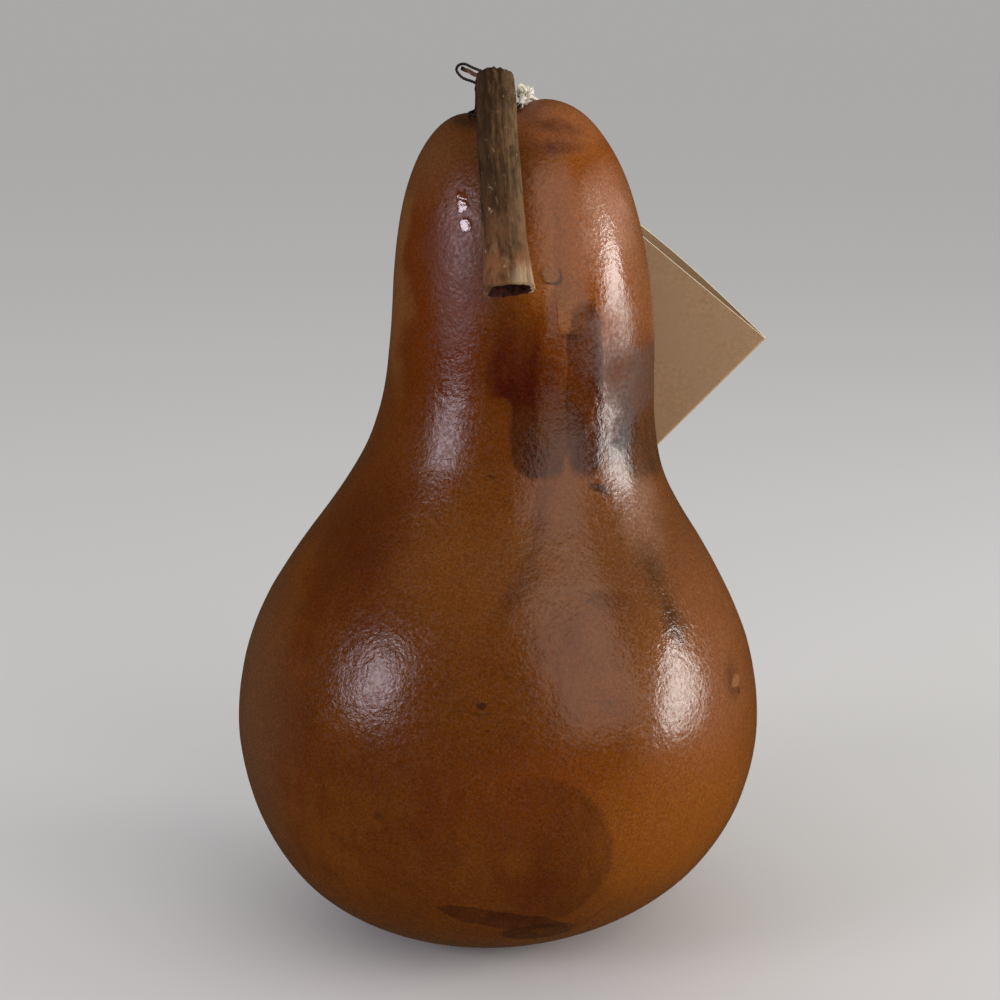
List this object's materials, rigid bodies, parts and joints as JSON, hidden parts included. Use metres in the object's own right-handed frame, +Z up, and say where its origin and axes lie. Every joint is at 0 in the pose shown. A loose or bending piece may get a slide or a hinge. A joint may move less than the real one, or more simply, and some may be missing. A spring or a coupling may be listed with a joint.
{
  "type": "dried pear gourd",
  "caption": "Stained and varnished dried pear gourd with a hooked woody stem and a blank folded card hung behind its neck on a cotton string.",
  "frame": {"origin": "middle of the flat that the gourd stands on", "axes": "+Z up from the base to the crown, -Y towards the side that the stem hangs down, +X to the right seen from that side"},
  "size_m": [0.1278, 0.1226, 0.2021],
  "materials": {
    "stained_rind": "gloss",
    "dried_stem": "matte",
    "waxed_cord": "satin",
    "cotton": "matte",
    "kraft_card": "matte"
  },
  "bodies": {
    "root": {"gourd": "stained_rind", "stem": "dried_stem", "stem_loop": "waxed_cord", "string_knot": "cotton", "tag_string": "cotton", "hang_tag": "kraft_card"}
  },
  "joints": []
}
